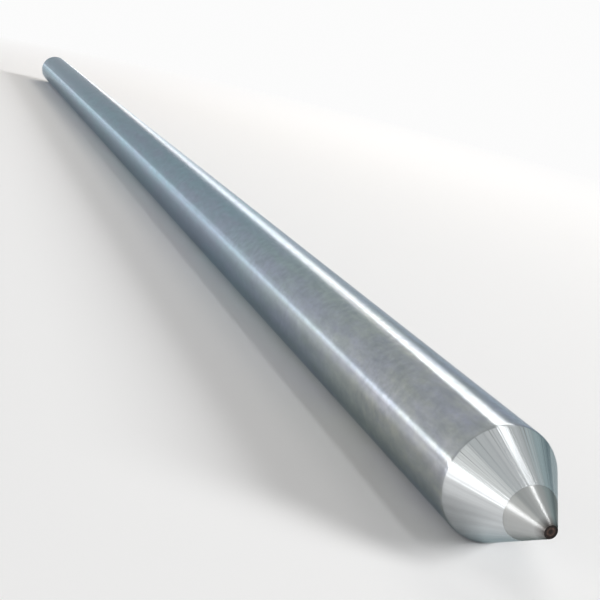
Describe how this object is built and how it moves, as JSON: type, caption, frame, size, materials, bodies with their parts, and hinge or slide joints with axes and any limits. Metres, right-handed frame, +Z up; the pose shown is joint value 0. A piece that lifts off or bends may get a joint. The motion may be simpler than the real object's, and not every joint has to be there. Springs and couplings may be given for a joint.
{
  "type": "ground rod",
  "caption": "Pointed ground rod: a steel core bonded inside a thick zinc jacket, turned to one driving point, with a plain driving face.",
  "frame": {"origin": "on the surface that the rod lies on, below the middle of its length", "axes": "+Y along the rod from the point to the driving face, +Z up"},
  "size_m": [0.04, 1.5, 0.0398],
  "materials": {
    "steel": "turned bare steel, rust brown on the flat of the point",
    "zinc": "bright blue-grey zinc with fine drawing and turning marks"
  },
  "bodies": {
    "root": {"steel_core": "steel", "zinc_jacket": "zinc"}
  },
  "joints": []
}
